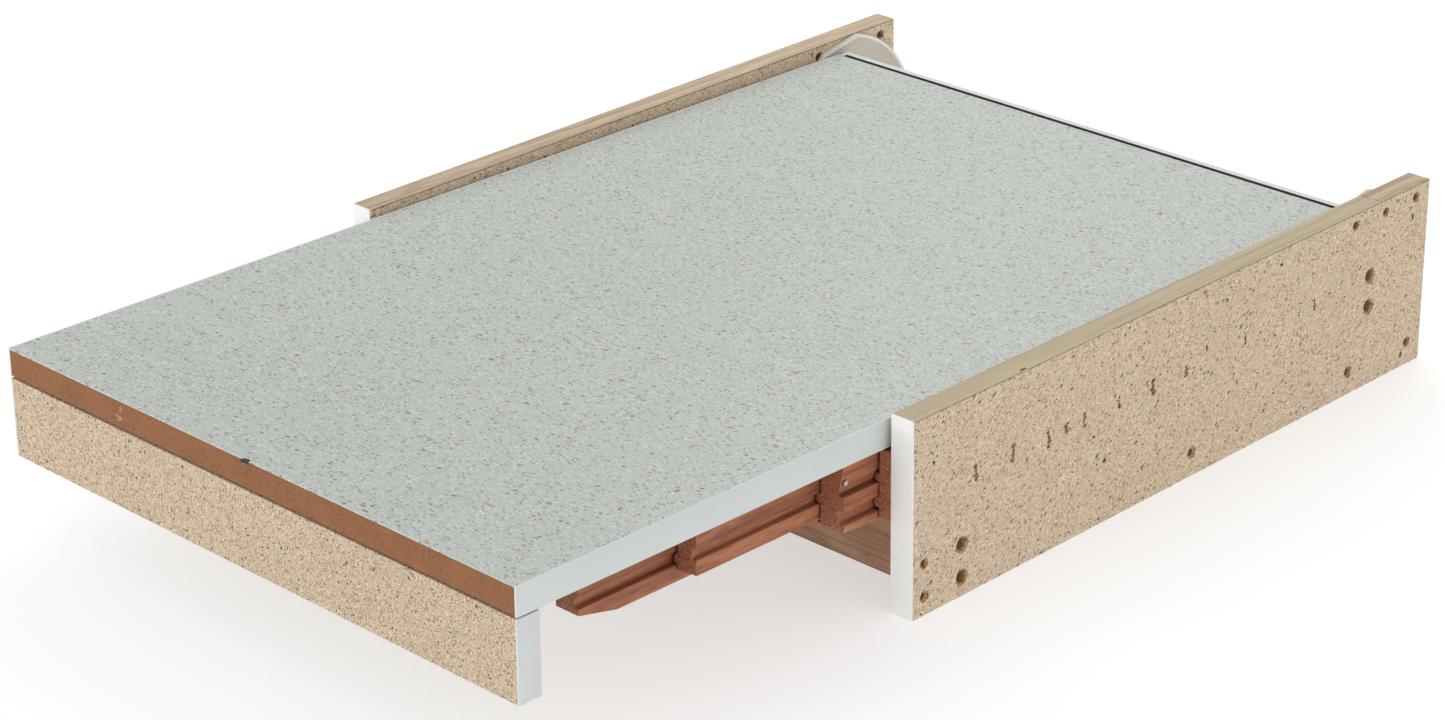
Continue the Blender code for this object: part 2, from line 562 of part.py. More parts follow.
def middle_rails():
    tongue_bottom = FLANGE_TOP - RUN
    tongue_top = tongue_bottom - MIDDLE_TONGUE_HEIGHT
    for name, sign in SIDES:
        frame = empty(f"middle_{name}_slide_frame", run, (sign * MIDDLE_IN, MIDDLE_FRONT, 0))
        rail = bar(f"middle_rail_{name}", section(sign, [
            (MIDDLE_IN, RAIL_TOP), (MIDDLE_OUT, RAIL_TOP), (MIDDLE_OUT, OUTER_TONGUE_TOP - RUN),
            (MIDDLE_GROOVE, OUTER_TONGUE_TOP - RUN), (MIDDLE_GROOVE, OUTER_TONGUE_BOTTOM + RUN),
            (MIDDLE_OUT, OUTER_TONGUE_BOTTOM + RUN), (MIDDLE_OUT, MIDDLE_BOTTOM),
            (MIDDLE_OUT - OUTER_LIP - RUN, MIDDLE_BOTTOM), (MIDDLE_IN, MIDDLE_BOTTOM + MIDDLE_DIP),
            (MIDDLE_IN, tongue_bottom), (MIDDLE_TIP, tongue_bottom), (MIDDLE_TIP, tongue_top),
            (MIDDLE_IN, tongue_top - MIDDLE_TONGUE_SLOPE)]),
            MIDDLE_FRONT, RAIL_LENGTH, WOOD_RED, frame)
        on_frame(rail, frame)
        lead_in(rail, f"middle_lead_{name}", sign * MIDDLE_IN, MIDDLE_BOTTOM + MIDDLE_DIP, MIDDLE_LEAD,
                MIDDLE_FRONT, run)


def inner_rails(core, backing):
    """Screwed under the table; a flange carries the middle rail's tongue."""
    recess_top = FLANGE_TOP - RUN - MIDDLE_TONGUE_HEIGHT - RUN
    flange_bottom = FLANGE_TOP + FLANGE_HEIGHT
    web_x = (INNER_WEB_IN + INNER_RECESS) / 2
    step = (RAIL_LENGTH - 2 * INNER_SCREW_START) / (INNER_SCREW_COUNT - 1)
    for name, sign in SIDES:
        rail = bar(f"inner_rail_{name}", section(sign, [
            (INNER_WEB_IN, TOUCH), (INNER_OUT, TOUCH), (INNER_OUT, recess_top - MIDDLE_TONGUE_SLOPE),
            (INNER_RECESS, recess_top), (INNER_RECESS, FLANGE_TOP), (INNER_OUT, FLANGE_TOP),
            (INNER_OUT, flange_bottom), (INNER_IN, flange_bottom), (INNER_IN, FLANGE_TOP),
            (INNER_WEB_IN, FLANGE_TOP)]),
            INNER_FRONT, RAIL_LENGTH, WOOD_RED, table)
        lead_in(rail, f"inner_lead_{name}", sign * web_x, flange_bottom, INNER_LEAD, INNER_FRONT, run)
        for index in range(INNER_SCREW_COUNT):
            s = INNER_FRONT + INNER_SCREW_START + index * step
            centre = (sign * web_x, s, -TABLE_THICKNESS - INNER_HEAD_DEPTH)
            label = f"inner_rail_screw_{name}_{index + 1}"
            screw(label, centre, (0, 0, 1), INNER_SCREW, table)
            bore = INNER_SCREW["shank"] + 2 * SCREW_FIT
            screw_hole(rail, label + "_hole", centre, (0, 0, 1), INNER_SCREW, INNER_COUNTERBORE / 2,
                       flange_bottom + OVERCUT - INNER_HEAD_DEPTH, run)
            into = INNER_SCREW["length"] - INNER_HEAD_DEPTH + 2 * SCREW_FIT
            below = (centre[0], s, -TABLE_THICKNESS - OVERCUT)
            drill(backing, label + "_backing", below, (0, 0, 1), bore, 2 * OVERCUT + LAMINATE, run)
            drill(core, label + "_pilot", below, (0, 0, 1), bore, into + OVERCUT, run)


# ---- Table -----------------------------------------------------------------------------
def table_top():
    front, rear = -TABLE_OVERHANG, TABLE_REAR
    skin = LAMINATE + TOUCH
    core = box("table_core", (-HALF_CORE, front, -TABLE_THICKNESS + skin), (HALF_CORE, rear, -skin),
               FIBREBOARD, table)
    box("table_laminate", (-HALF_CORE, front, -LAMINATE), (HALF_CORE, rear, 0), LAMINATE_GREY, table)
    backing = box("table_backing", (-HALF_CORE, front, -TABLE_THICKNESS),
                  (HALF_CORE, rear, -TABLE_THICKNESS + LAMINATE), BACKING, table)
    for name, sign in SIDES:
        low_x, high_x = sorted((sign * (HALF_TABLE - BAND), sign * HALF_TABLE))
        box(f"table_edge_band_{name}", (low_x, front, -TABLE_THICKNESS), (high_x, rear, 0), BAND_WHITE, table)
    rear_trim(rear + TOUCH)
    return core, backing


def rear_trim(start):
    """A black seal along the table's rear edge, held by a white strip that wraps round its ends."""
    seal, strip = HALF_TABLE - SEAL_INSET, HALF_TABLE - STRIP_INSET
    box("rear_seal", (-seal, start, -TABLE_THICKNESS), (seal, start + SEAL_DEPTH, 0), RUBBER_BLACK, table)
    inner = seal + TOUCH
    back = SEAL_DEPTH + TOUCH
    deep = back + STRIP_DEPTH
    outline = [(-strip, 0), (-inner, 0), (-inner, back), (inner, back), (inner, 0), (strip, 0),
               (strip, deep), (-strip, deep)]
    mesh = outline_mesh("rear_strip", [(x, -y) for x, y in outline], TABLE_THICKNESS)
    mesh.transform(Matrix.Rotation(math.pi / 2, 4, "X"))
    place(mesh, "rear_strip", TRIM_WHITE, table, (0, start, -TABLE_THICKNESS / 2))


def front_panel(core, backing):
    front = -TABLE_OVERHANG
    rear = front + FRONT_THICKNESS
    top = -TABLE_THICKNESS - FRONT_GAP
    bottom = top - FRONT_HEIGHT
    panel = box("front_panel", (-HALF_CORE, front, bottom), (HALF_CORE, rear, top), CHIPBOARD, table)
    for name, sign in SIDES:
        low_x, high_x = sorted((sign * (HALF_TABLE - BAND), sign * HALF_TABLE))
        box(f"front_edge_band_{name}", (low_x, front, bottom), (high_x, rear, top), BAND_WHITE, table)
        bracket(name, sign, rear, core, backing, panel)


def bracket(name, sign, panel_rear, core, backing, panel):
    """A steel angle that holds the front panel under the table, with two screws."""
    corner_y = panel_rear + TOUCH
    corner_z = -TABLE_THICKNESS - TOUCH
    outline = [(0, 0), (BRACKET_LEG, 0), (BRACKET_LEG, -BRACKET_STEEL), (BRACKET_STEEL, -BRACKET_STEEL),
               (BRACKET_STEEL, -BRACKET_LEG), (0, -BRACKET_LEG)]
    mesh = outline_mesh(f"front_bracket_{name}", outline, BRACKET_WIDTH)
    mesh.transform(Matrix.Rotation(math.pi / 2, 4, "Z"))
    x = sign * BRACKET_SPREAD
    angle = place(mesh, f"front_bracket_{name}", STEEL, table, (x, corner_y, corner_z))
    shank = BRACKET_SCREW["shank"] + 2 * SCREW_FIT
    out, proud = BRACKET_SCREW_OUT, BRACKET_HEAD_PROUD
    up_head = (x, corner_y + out, corner_z - BRACKET_STEEL - proud)
    screw(f"bracket_screw_{name}_top", up_head, (0, 0, 1), BRACKET_SCREW, table)
    drill(angle, f"bracket_hole_{name}_top", up_head, (0, 0, 1), shank,
          BRACKET_STEEL + proud + OVERCUT, run)
    into = BRACKET_SCREW["length"] - BRACKET_STEEL - proud + SCREW_FIT
    start = (x, corner_y + out, corner_z - OVERCUT)
    drill(backing, f"bracket_backing_{name}", start, (0, 0, 1), shank, 2 * OVERCUT + LAMINATE, run)
    drill(core, f"bracket_pilot_{name}", start, (0, 0, 1), shank, into + OVERCUT, run)
    back_head = (x, corner_y + BRACKET_STEEL + proud, corner_z - out)
    screw(f"bracket_screw_{name}_front", back_head, (0, -1, 0), BRACKET_SCREW, table)
    drill(angle, f"bracket_hole_{name}_front", back_head, (0, -1, 0), shank,
          BRACKET_STEEL + proud + OVERCUT, run)
    drill(panel, f"panel_pilot_{name}", (x, panel_rear + OVERCUT, corner_z - out), (0, -1, 0), shank,
          into + OVERCUT, run)


def centre_on_origin():
    """Moves the whole assembly along Y so that the origin is under its middle."""
    bpy.context.view_layer.update()
    graph = bpy.context.evaluated_depsgraph_get()
    reach = []
    for obj in PARTS.objects:
        if obj.type != "MESH":
            continue
        evaluated = obj.evaluated_get(graph)
        reach += [(evaluated.matrix_world @ Vector(corner)).y for corner in evaluated.bound_box]
    origin.location.y = -(min(reach) + max(reach)) / 2


side = side_panels()
cross_rail(side)
guide_plates(side)
fixed_rails(side)
outer_rails()
middle_rails()
top_core, top_backing = table_top()
inner_rails(top_core, top_backing)
front_panel(top_core, top_backing)
centre_on_origin()
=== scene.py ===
"""Looks of the pull-out table on wooden runners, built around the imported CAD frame.

Metres, in the frame's own axes: +X to the right, -Y the way the table pulls out, +Z up.
"""
import json
import math
import random

import bmesh
import bpy
from mathutils import Matrix, Vector, noise


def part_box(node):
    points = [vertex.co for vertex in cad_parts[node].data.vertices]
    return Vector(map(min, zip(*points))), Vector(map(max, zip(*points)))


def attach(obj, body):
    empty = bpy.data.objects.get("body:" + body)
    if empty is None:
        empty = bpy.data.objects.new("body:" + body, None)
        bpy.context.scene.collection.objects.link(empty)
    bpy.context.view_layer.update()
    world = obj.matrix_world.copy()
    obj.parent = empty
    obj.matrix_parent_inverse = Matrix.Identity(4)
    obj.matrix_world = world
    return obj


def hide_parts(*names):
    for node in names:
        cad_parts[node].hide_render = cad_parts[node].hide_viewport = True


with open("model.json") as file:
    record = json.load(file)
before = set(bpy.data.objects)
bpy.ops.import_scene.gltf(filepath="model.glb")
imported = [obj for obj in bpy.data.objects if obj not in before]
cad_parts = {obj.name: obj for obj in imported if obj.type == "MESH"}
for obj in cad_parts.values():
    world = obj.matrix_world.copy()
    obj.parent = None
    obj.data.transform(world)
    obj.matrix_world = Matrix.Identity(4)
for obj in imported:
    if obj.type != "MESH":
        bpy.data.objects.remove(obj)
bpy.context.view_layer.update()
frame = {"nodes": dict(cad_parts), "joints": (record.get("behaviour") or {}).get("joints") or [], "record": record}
NODES = frame["nodes"]
MM = 0.001
WELD = 0.01 * MM               # vertices nearer than this are one
BEVEL_SEGMENTS = 2
SIDES = (("left", -1), ("right", 1))

# ---- The sloping frame that the table and the runners lie in -------------------------
SLIDE = Vector(next(j["axis"] for j in frame["joints"] if j["name"] == "table_slide"))
RISE = math.atan2(SLIDE.z, -SLIDE.y)
front_top = max(NODES["table_laminate"].data.vertices, key=lambda v: v.co.z).co
RUN = Matrix.Translation((0, front_top.y, front_top.z)) @ Matrix.Rotation(-RISE, 4, "X")
WORLD = Matrix.Identity(4)
BODY = {n: b for b, names in frame["record"]["behaviour"]["bodies"].items() for n in names}
SLOT = {p["node"]: p["material_slot"] for p in frame["record"]["subparts"]}


def extent(node, space=WORLD):
    """Lowest and highest corner of a CAD node in the given frame."""
    back = space.inverted()
    points = [back @ v.co for v in NODES[node].data.vertices]
    return (Vector([min(p[i] for p in points) for i in range(3)]),
            Vector([max(p[i] for p in points) for i in range(3)]))


# ---- Materials ------------------------------------------------------------------------
class Graph:
    """A material whose nodes are added one call at a time."""

    def __init__(self, name, roughness=0.5, metallic=0.0, **sockets):
        self.material = bpy.data.materials.new(name)
        self.material.use_nodes = True
        self.tree = self.material.node_tree
        self.shader = self.tree.nodes["Principled BSDF"]
        self.shader.inputs["Roughness"].default_value = roughness
        self.shader.inputs["Metallic"].default_value = metallic
        for key, value in sockets.items():
            self.shader.inputs[key.replace("_", " ")].default_value = value
        self.place = self.add("ShaderNodeTexCoord").outputs["Object"]

    def add(self, kind, inputs=None, **settings):
        node = self.tree.nodes.new(kind)
        for key, value in settings.items():
            setattr(node, key, value)
        for key, value in (inputs or {}).items():
            self.feed(node.inputs[key], value)
        return node

    def feed(self, socket, value):
        if isinstance(value, bpy.types.NodeSocket):
            self.tree.links.new(value, socket)
        else:
            socket.default_value = value

    def stretch(self, scale, turn=(0, 0, 0), shift=(0, 0, 0), source=None):
        """The place on the object, turned and then scaled per axis."""
        turned = self.add("ShaderNodeMapping", {"Vector": source or self.place, "Rotation": turn,
                                                "Location": shift}, vector_type="POINT")
        return self.add("ShaderNodeMapping", {"Vector": turned.outputs["Vector"], "Scale": scale},
                        vector_type="POINT").outputs["Vector"]

    def noise(self, vector, scale, detail=2.0, rough=0.5, distortion=0.0):
        return self.add("ShaderNodeTexNoise", {"Vector": vector, "Scale": scale, "Detail": detail,
                                               "Roughness": rough, "Distortion": distortion}).outputs["Fac"]

    def cells(self, vector, scale, output="Distance", randomness=1.0):
        return self.add("ShaderNodeTexVoronoi", {"Vector": vector, "Scale": scale,
                                                 "Randomness": randomness}).outputs[output]

    def band(self, value, low, high, to_low=0.0, to_high=1.0):
        """Maps low..high of a value to to_low..to_high, held at the ends."""
        return self.add("ShaderNodeMapRange", {"Value": value, "From Min": low, "From Max": high,
                                               "To Min": to_low, "To Max": to_high}).outputs["Result"]

    def math(self, operation, a, b=0.0):
        node = self.add("ShaderNodeMath", operation=operation)
        self.feed(node.inputs[0], a)
        self.feed(node.inputs[1], b)
        return node.outputs[0]

    def mix(self, share, a, b, blend="MIX"):
        node = self.add("ShaderNodeMix", data_type="RGBA", blend_type=blend)
        self.feed(node.inputs["Factor"], share)
        self.feed(node.inputs["A"], a if isinstance(a, bpy.types.NodeSocket) else (*a, 1.0))
        self.feed(node.inputs["B"], b if isinstance(b, bpy.types.NodeSocket) else (*b, 1.0))
        return node.outputs["Result"]

    def ramp(self, value, *stops):
        node = self.add("ShaderNodeValToRGB", {"Fac": value})
        elements = node.color_ramp.elements
        while len(elements) < len(stops):
            elements.new(0.5)
        for element, (position, colour) in zip(elements, stops):
            element.position = position
            element.color = (*colour, 1.0)
        return node.outputs["Color"]

    def crevice(self, reach):
        """How open the place is, 0 deep in a groove to 1, by ambient occlusion; used to paint shade into grooves.
        """
        node = self.add("ShaderNodeAmbientOcclusion", {"Distance": reach}, samples=8)
        return self.band(node.outputs["AO"], 0.25, 0.80)

    def axis(self, name, source=None):
        split = self.add("ShaderNodeSeparateXYZ", {"Vector": source or self.place})
        return split.outputs[name]

    def facing(self, name):
        """How squarely the surface faces along one axis, 0 to 1."""
        normal = self.add("ShaderNodeNewGeometry").outputs["True Normal"]
        return self.math("ABSOLUTE", self.axis(name, normal))

    def colour(self, value):
        self.feed(self.shader.inputs["Base Color"], value)

    def rough(self, value):
        self.feed(self.shader.inputs["Roughness"], value)

    def bump(self, height, distance, strength=1.0):
        node = self.add("ShaderNodeBump", {"Height": height, "Distance": distance, "Strength": strength})
        if self.shader.inputs["Normal"].is_linked:
            self.feed(node.inputs["Normal"], self.shader.inputs["Normal"].links[0].from_socket)
        self.feed(self.shader.inputs["Normal"], node.outputs["Normal"])


def chips(graph, ground, scale, turn, spread, rarity, reach, tint, share, seed=0.0):
    """Scatters small elongated chips of one tint over the ground, `rarity` of the cells left bare."""
    turned = (math.radians(turn), math.radians(turn * 0.7), math.radians(turn * 1.3))
    vector = graph.stretch((1.0, 1.0 / spread, 1.0), turned, (seed, seed * 0.7, seed * 1.9))
    cell = graph.add("ShaderNodeTexVoronoi", {"Vector": vector, "Scale": scale})
    picked = cell.outputs["Color"]
    chosen = graph.band(graph.axis("X", picked), rarity, rarity + 0.02)
    size = graph.band(graph.axis("Y", picked), 0.0, 1.0, reach * 0.4, reach)
    spot = graph.band(graph.math("SUBTRACT", cell.outputs["Distance"], size), 0.06, -0.06)
    return graph.mix(graph.math("MULTIPLY", graph.math("MULTIPLY", chosen, spot), share), ground, tint)


def particleboard(name, light, mid, dark, contrast=1.0, specks=1.0):
    """Raw particleboard: pressed pale and brown chips of many sizes, and dark bark specks."""
    graph = Graph(name, roughness=0.88)
    fine = graph.noise(graph.place, 1050, 3.0, 0.75, 0.3)
    clouds = graph.noise(graph.place, 26, 3.0, 0.6)
    ground = graph.ramp(fine, (0.34, [c * 0.85 for c in mid]), (0.50, light),
                        (0.66, [c * 1.15 for c in light]))
    pale = [min(1.0, c * 1.45) for c in light]
    for index, turn in enumerate((12, 58, 103, 149)):
        ground = chips(graph, ground, 820, turn, 3.0, 0.76, 0.42, dark, 0.90 * contrast, 0.31 * index)
        ground = chips(graph, ground, 900, turn + 21, 3.2, 0.66, 0.44, pale, 0.75 * contrast,
                       0.17 + 0.23 * index)
    ground = graph.mix(graph.band(clouds, 0.35, 0.7, 0.0, 0.20), ground, mid)
    for turn in (33, 118):
        ground = chips(graph, ground, 620, turn, 2.6, 0.91, 0.40, (0.075, 0.05, 0.036), 0.95 * specks,
                       turn * 0.011)
        ground = chips(graph, ground, 330, turn + 40, 2.2, 0.955, 0.30, (0.060, 0.042, 0.034), 0.9 * specks,
                       turn * 0.017)
    graph.colour(ground)
    graph.rough(graph.band(fine, 0.3, 0.7, 0.8, 0.95))
    graph.bump(graph.noise(graph.stretch((1, 0.4, 1), (0.6, 0, 0)), 520, 3.0, 0.6), 0.00018, 0.6)
    graph.bump(fine, 0.00012, 0.6)
    return graph.material


def laminate(name):
    """Satin decorative laminate: a grey-green ground with fine grey, brown and pale specks."""
    graph = Graph(name, roughness=0.36, Specular_IOR_Level=0.45)
    cloud = graph.noise(graph.place, 420, 2.0, 0.6)
    ground = graph.ramp(cloud, (0.3, (0.415, 0.455, 0.412)), (0.7, (0.545, 0.580, 0.542)))
    wide = graph.noise(graph.place, 5.0, 2.0, 0.5)
    ground = graph.mix(graph.band(wide, 0.35, 0.65, 0.0, 0.16), ground, (0.55, 0.585, 0.55))
    # Per layer of specks: scale, share of cells left bare, size, tint, strength, shift.
    layers = (
        (500, 0.72, 0.37, (0.27, 0.185, 0.14), 0.85, 1.0),
        (420, 0.78, 0.39, (0.25, 0.26, 0.25), 0.80, 2.3),
        (680, 0.55, 0.44, (0.68, 0.71, 0.67), 0.80, 3.1),
        (320, 0.92, 0.30, (0.19, 0.105, 0.075), 0.90, 4.7),
    )
    for scale, rarity, size, tint, share, shift in layers:
        warp = graph.noise(graph.place, scale * 1.3, 1.0)
        moved = graph.add("ShaderNodeVectorMath", operation="MULTIPLY_ADD")
        graph.feed(moved.inputs[0], warp)
        moved.inputs[1].default_value = (0.0011, 0.0007, 0.0)
        graph.feed(moved.inputs[2], graph.stretch((0.62, 1.3, 0.2), (0, 0, 0.25 * math.sin(shift)),
                                                  (shift, shift * 0.3, 0)))
        vector = moved.outputs[0]
        distance = graph.cells(vector, scale)
        picked = graph.cells(vector, scale, "Color")
        rare = graph.band(graph.axis("X", picked), rarity, rarity + 0.02)
        reach = graph.band(graph.axis("Y", picked), 0.0, 1.0, size * 0.45, size * 1.15)
        spot = graph.math("MULTIPLY", rare, graph.band(graph.math("SUBTRACT", distance, reach), 0.05, -0.03))
        ground = graph.mix(graph.math("MULTIPLY", spot, share), ground, tint)
    graph.colour(ground)
    smudge = graph.noise(graph.place, 14, 4.0, 0.65)
    graph.rough(graph.band(smudge, 0.3, 0.7, 0.33, 0.46))
    graph.bump(graph.noise(graph.place, 1500, 2.0), 0.00002, 0.35)
    return graph.material


def fibreboard(name, base):
    """Sawn fibreboard edge: even felted fibres with faint saw marks and pale scuffs."""
    graph = Graph(name, roughness=0.85)
    fibre = graph.noise(graph.stretch((1, 1, 1.6)), 700, 4.0, 0.75)
    cloud = graph.noise(graph.place, 60, 4.0, 0.6)
    dark = [c * 0.66 for c in base]
    light = [min(1.0, c * 1.42) for c in base]
    ground = graph.ramp(fibre, (0.36, dark), (0.52, base), (0.68, light))
    ground = graph.mix(graph.band(cloud, 0.35, 0.7, 0.0, 0.35), ground, light)
    saw = graph.noise(graph.stretch((240, 240, 3)), 1.0, 1.0)
    ground = graph.mix(graph.band(saw, 0.55, 0.75, 0.0, 0.14), ground, dark)
    scuff = graph.noise(graph.stretch((1, 1, 0.6)), 75, 2.0, 0.5)
    ground = graph.mix(graph.band(scuff, 0.735, 0.80, 0.0, 0.35), ground, (0.55, 0.42, 0.33))
    graph.colour(ground)
    graph.bump(fibre, 0.00010, 0.6)
    graph.bump(saw, 0.00006, 0.4)
    return graph.material


def timber(name, light, mid, dark, grain="Y", rings=38.0, pores=1.0):
    """Planed wood: growth bands and pores along the grain, and sawn end grain across it, with painted shade
    darkening its grooves and crevices.
    """
    graph = Graph(name, roughness=0.62)
    long_axis = {"X": (0.06, 1, 1), "Y": (1, 0.06, 1), "Z": (1, 1, 0.06)}[grain]
    fibre_axis = {"X": (0.02, 1, 1), "Y": (1, 0.02, 1), "Z": (1, 1, 0.02)}[grain]
    pore_axis = {"X": (0.05, 1, 1), "Y": (1, 0.05, 1), "Z": (1, 1, 0.05)}[grain]
    sway = graph.noise(graph.stretch(long_axis), 55, 3.0, 0.55, 0.6)
    wave = {"Vector": graph.stretch(long_axis, (0.35, 0.0, 0.45)), "Scale": rings, "Distortion": 5.0,
            "Detail": 3.0, "Detail Scale": 1.4, "Detail Roughness": 0.6}
    growth = graph.add("ShaderNodeTexWave", wave, wave_type="BANDS",
                       bands_direction="DIAGONAL").outputs["Fac"]
    fibre = graph.noise(graph.stretch(fibre_axis), 900, 3.0, 0.65)
    streak = graph.noise(graph.stretch(fibre_axis, shift=(0.3, 0.1, 0.2)), 420, 2.0, 0.6)
    tone = graph.math("ADD", graph.math("MULTIPLY", growth, 0.22), graph.math("MULTIPLY", sway, 0.78))
    ground = graph.ramp(tone, (0.30, dark), (0.50, mid), (0.72, light))
    ground = graph.mix(graph.band(fibre, 0.35, 0.75, 0.0, 0.5), ground, light)
    ground = graph.mix(graph.band(streak, 0.53, 0.68, 0.0, 0.75), ground, [c * 0.8 for c in dark])
    pore = graph.cells(graph.stretch(pore_axis), 1150)
    pick = graph.cells(graph.stretch(pore_axis), 1150, "Color")
    open_pore = graph.math("MULTIPLY", graph.band(graph.axis("X", pick), 0.70, 0.76),
                           graph.band(pore, 0.34, 0.22))
    open_pore = graph.math("MULTIPLY", open_pore, pores)
    ground = graph.mix(graph.math("MULTIPLY", open_pore, 0.6), ground, [c * 0.42 for c in dark])
    end_noise = graph.noise(graph.place, 1100, 3.0, 0.7)
    end_cells = graph.cells(graph.place, 1250)
    end = graph.ramp(end_noise, (0.36, [c * 0.55 for c in dark]), (0.52, [c * 0.80 for c in mid]),
                     (0.68, light))
    end = graph.mix(graph.band(end_cells, 0.34, 0.16, 0.0, 0.75), end, [c * 0.30 for c in dark])
    across = graph.band(graph.facing(grain), 0.75, 0.9)
    ground = graph.mix(across, ground, end)
    # Painted shade: the wood goes near black deep in grooves and crevices, found by ambient occlusion.
    graph.colour(graph.mix(graph.crevice(0.0035), [c * 0.12 for c in dark], ground))
    graph.rough(graph.band(fibre, 0.3, 0.7, 0.5, 0.74))
    graph.bump(fibre, 0.00008, 0.5)
    graph.bump(graph.math("SUBTRACT", 1.0, open_pore), 0.00012, 0.5)
    saw = graph.noise(graph.stretch({"X": (1, 1, 12), "Y": (1, 1, 12), "Z": (1, 12, 1)}[grain]), 260, 1.0)
    graph.bump(graph.math("MULTIPLY", across, graph.math("ADD", saw, end_noise)), 0.00018, 0.7)
    return graph.material


def plain_white(name, colour, roughness, speckle=0.05, gloss=0.5):
    """Extruded or moulded white plastic: a faint orange-peel, soft smudges and rubbed streaks."""
    graph = Graph(name, roughness=roughness, Specular_IOR_Level=gloss)
    cloud = graph.noise(graph.place, 18, 4.0, 0.6)
    shade = [c * (1 - speckle) for c in colour]
    ground = graph.mix(graph.band(cloud, 0.3, 0.7), colour, shade)
    grime = graph.noise(graph.stretch((1, 0.25, 1)), 160, 4.0, 0.7)
    ground = graph.mix(graph.band(grime, 0.62, 0.8, 0.0, 0.22), ground, [c * 0.78 for c in colour])
    graph.colour(ground)
    graph.rough(graph.band(cloud, 0.3, 0.7, roughness * 0.85, roughness * 1.25))
    graph.bump(graph.noise(graph.place, 700, 2.0), 0.00003, 0.4)
    return graph.material


def rubber(name):
    """Matt black rubber with a brown cast and fine drawn lines."""
    graph = Graph(name, roughness=0.8, Specular_IOR_Level=0.15)
    mottled = graph.noise(graph.place, 300, 3.0, 0.6)
    graph.colour(graph.ramp(mottled, (0.3, (0.010, 0.006, 0.005)), (0.7, (0.022, 0.014, 0.011))))
    graph.rough(graph.band(mottled, 0.3, 0.7, 0.7, 0.9))
    graph.bump(graph.noise(graph.stretch((0.15, 1, 1)), 900, 2.0), 0.00006, 0.5)
    return graph.material


def zinc(name):
    """Bright zinc plate: pale steel with drawn scratches and a little dull bloom."""
    graph = Graph(name, roughness=0.3, metallic=1.0)
    bloom = graph.noise(graph.place, 130, 4.0, 0.65)
    graph.colour(graph.ramp(bloom, (0.3, (0.50, 0.50, 0.49)), (0.6, (0.66, 0.66, 0.65)),
                            (0.85, (0.70, 0.67, 0.60))))
    scratch = graph.noise(graph.stretch((1, 0.05, 1), (0.2, 0.4, 0.3)), 1600, 2.0, 0.6)
    graph.rough(graph.band(bloom, 0.3, 0.75, 0.24, 0.5))
    graph.bump(scratch, 0.00003, 0.5)
    return graph.material


# Finishes that no slot names: a darker front panel, torn chips darkened with painted shade for inside a cut, a
# whiter guide-plate rim as a painted highlight, and a whiter front band as painted light.
FACE_LIGHT, FACE_MID, FACE_DARK = (0.655, 0.522, 0.376), (0.53, 0.405, 0.275), (0.33, 0.19, 0.095)
FRONT = particleboard("front_particleboard", [c * 0.80 for c in FACE_LIGHT], [c * 0.78 for c in FACE_MID],
                      [c * 0.72 for c in FACE_DARK], contrast=1.3, specks=1.1)
# Darker orange particleboard for the insides of cuts: torn chips, darkened further as painted shade in the
# hollows.
TORN_AND_SHADED = particleboard("torn_particleboard_painted_shade", (0.46, 0.27, 0.125), (0.31, 0.17, 0.075), (0.14, 0.075, 0.035),
                     specks=0.6)
SCUFF = fibreboard("scuffed_fibreboard", (0.36, 0.21, 0.125))
# A whiter copy of the guide plate's plastic for its rim lip: a painted highlight.
PLATE_RIM_HIGHLIGHT = plain_white("guide_plate_rim", (0.80, 0.80, 0.77), 0.30)
# A whiter copy of the white edge band for the side panels' front-facing bands: painted light.
PAINTED_LIGHT_BAND = plain_white("bright_front_band", (0.88, 0.89, 0.87), 0.40)
BARK = particleboard("bark_specks", (0.075, 0.06, 0.055), (0.05, 0.04, 0.036), (0.03, 0.022, 0.02),
                     specks=0.3)
MATERIALS = {
    "particleboard": particleboard("raw_particleboard", FACE_LIGHT, FACE_MID, FACE_DARK),
    "edge_band": plain_white("white_edge_band", (0.67, 0.71, 0.695), 0.42),
    "veneer_edging": timber("striped_edging_veneer", (0.62, 0.48, 0.325), (0.53, 0.405, 0.27),
                            (0.40, 0.285, 0.18), rings=60, pores=0.35),
    "runner_wood": timber("red_runner_wood", (0.54, 0.225, 0.110), (0.39, 0.130, 0.058),
                          (0.23, 0.066, 0.031)),
    "cross_rail_wood": timber("brown_cross_rail_wood", (0.42, 0.245, 0.145), (0.34, 0.185, 0.105),
                              (0.26, 0.13, 0.07), grain="X", rings=20),
    "fibreboard": fibreboard("brown_fibreboard", (0.238, 0.096, 0.036)),
    "speckled_laminate": laminate("speckled_laminate_face"),
    "laminate_backing": plain_white("balancing_sheet", (0.60, 0.58, 0.54), 0.6),
    "white_plastic": plain_white("guide_plate_plastic", (0.61, 0.555, 0.46), 0.36, 0.1),
    "white_trim": plain_white("white_rear_trim", (0.72, 0.75, 0.745), 0.38),
    "black_seal": rubber("black_rubber_seal"),
    "zinc_steel": zinc("bright_zinc"),
}


# ---- Meshes ---------------------------------------------------------------------------
def finish_piece(bm, name, nodes, space=WORLD, smooth=30):
    """Makes an object of the mesh, in place of the CAD nodes, on their body and with their finish."""
    bmesh.ops.recalc_face_normals(bm, faces=bm.faces)
    mesh = bpy.data.meshes.new(name)
    bm.to_mesh(mesh)
    bm.free()
    mesh.transform(space)
    obj = bpy.data.objects.new(name, mesh)
    bpy.context.scene.collection.objects.link(obj)
    first = nodes[0]
    mesh.materials.append(MATERIALS[SLOT[first]])
    mesh.shade_smooth()
    mesh.set_sharp_from_angle(angle=math.radians(smooth))
    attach(obj, BODY[first])
    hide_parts(*nodes)
    return obj


